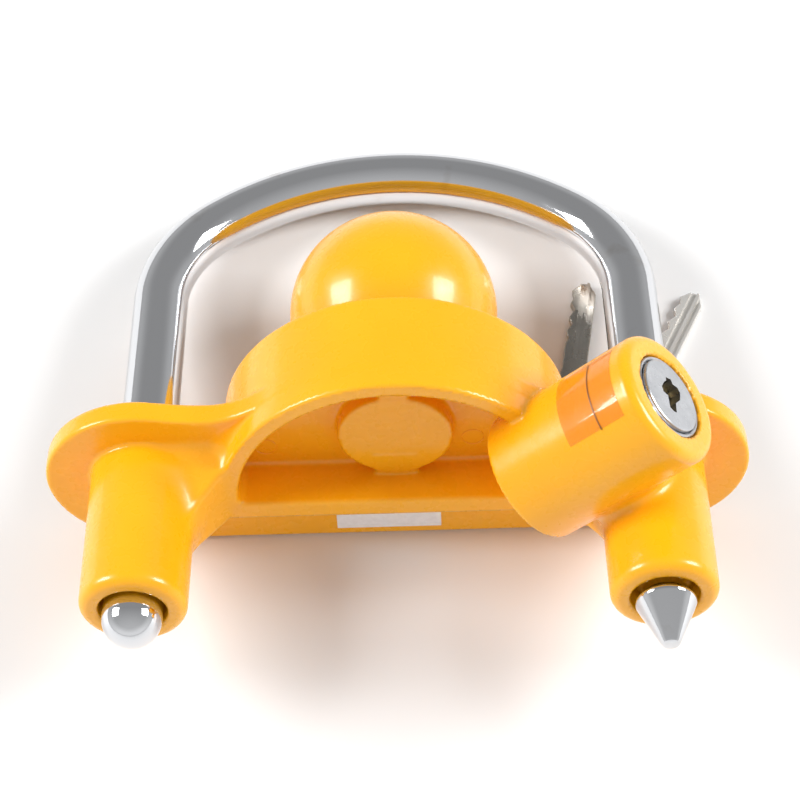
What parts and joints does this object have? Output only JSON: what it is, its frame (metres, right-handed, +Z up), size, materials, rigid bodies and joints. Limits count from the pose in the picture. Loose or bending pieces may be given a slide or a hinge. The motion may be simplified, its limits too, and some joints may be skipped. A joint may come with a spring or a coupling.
{
  "type": "trailer coupler lock",
  "caption": "Trailer coupler lock: yellow cast body with a dummy tow ball, a chromed U-shackle sliding in two bores, and a wafer cylinder that drives a bolt into the shackle's notches.",
  "frame": {"origin": "centre of the flat lower face of the body's flange", "axes": "+X across the two shackle legs towards the lock cylinder, +Z up from the table the lock lies on, +Y level and away from the tips of the legs; the body and shackle lean 10.885 degrees, crest end down"},
  "size_m": [0.1536, 0.1428, 0.0651],
  "materials": {
    "yellow_powder_coat": "gloss",
    "chrome_plate": "polished",
    "satin_zinc": "satin",
    "brass_wafer": "satin",
    "plain_steel": "satin",
    "spring_steel": "satin",
    "nickel_key": "satin",
    "white_label": "matte",
    "clear_film": "gloss"
  },
  "bodies": {
    "lock_body": {"body_casting": "yellow_powder_coat", "coupler_ball": "yellow_powder_coat", "cylinder_shell": "satin_zinc", "retaining_pin": "plain_steel", "cross_hole_plug": "yellow_powder_coat", "number_label": "white_label", "inspection_film": "clear_film"},
    "shackle": {"shackle": "chrome_plate"},
    "plug": {"lock_plug": "satin_zinc", "plug_clip": "spring_steel", "crank_disc": "plain_steel"},
    "bolt": {"latch_bolt": "plain_steel", "bolt_spring": "spring_steel"},
    "key_1": {"key_1": "nickel_key"},
    "key_2": {"key_2": "nickel_key"},
    "wafer_1": {"wafer_1": "brass_wafer"},
    "wafer_2": {"wafer_2": "brass_wafer"},
    "wafer_3": {"wafer_3": "brass_wafer"},
    "wafer_4": {"wafer_4": "brass_wafer"},
    "wafer_5": {"wafer_5": "brass_wafer"},
    "wafer_6": {"wafer_6": "brass_wafer"}
  },
  "joints": [
    {"name": "shackle_slide", "type": "slide", "parent": "lock_body", "child": "shackle", "axis": [0, 0.982, -0.1888], "range_m": [-0.0132, 0.065]},
    {"name": "plug_turn", "type": "hinge", "parent": "lock_body", "child": "plug", "pos_m": [0.04016, -0.00237, 0.04036], "axis": [-0.7337, -0.1283, -0.6672], "range_deg": [0, 90]},
    {"name": "bolt_slide", "type": "slide", "parent": "lock_body", "child": "bolt", "axis": [0.6794, -0.1386, -0.7205], "range_m": [0, 0.0022]},
    {"name": "key_1_slide", "type": "slide", "parent": "lock_body", "child": "key_1", "axis": [-1, 0, 0], "range_m": [0, 0.02]},
    {"name": "key_2_slide", "type": "slide", "parent": "lock_body", "child": "key_2", "axis": [0.4571, 0.8894, 0], "range_m": [0, 0.08]},
    {"name": "wafer_1_slide", "type": "slide", "parent": "plug", "child": "wafer_1", "axis": [-0.1873, 0.9822, 0.0171], "range_m": [0, 0.0006]},
    {"name": "wafer_2_slide", "type": "slide", "parent": "plug", "child": "wafer_2", "axis": [-0.1873, 0.9822, 0.0171], "range_m": [0, 0.0006]},
    {"name": "wafer_3_slide", "type": "slide", "parent": "plug", "child": "wafer_3", "axis": [-0.1873, 0.9822, 0.0171], "range_m": [0, 0.0006]},
    {"name": "wafer_4_slide", "type": "slide", "parent": "plug", "child": "wafer_4", "axis": [-0.1873, 0.9822, 0.0171], "range_m": [0, 0.0006]},
    {"name": "wafer_5_slide", "type": "slide", "parent": "plug", "child": "wafer_5", "axis": [-0.1873, 0.9822, 0.0171], "range_m": [0, 0.0006]},
    {"name": "wafer_6_slide", "type": "slide", "parent": "plug", "child": "wafer_6", "axis": [-0.1873, 0.9822, 0.0171], "range_m": [0, 0.0006]}
  ],
  "couplings": [
    {"joint": "plug_turn", "follows": "bolt_slide", "rad_per_m": 714},
    {"joint": "wafer_2_slide", "follows": "wafer_1_slide", "ratio": 1},
    {"joint": "wafer_3_slide", "follows": "wafer_1_slide", "ratio": 1},
    {"joint": "wafer_4_slide", "follows": "wafer_1_slide", "ratio": 1},
    {"joint": "wafer_5_slide", "follows": "wafer_1_slide", "ratio": 1},
    {"joint": "wafer_6_slide", "follows": "wafer_1_slide", "ratio": 1}
  ]
}
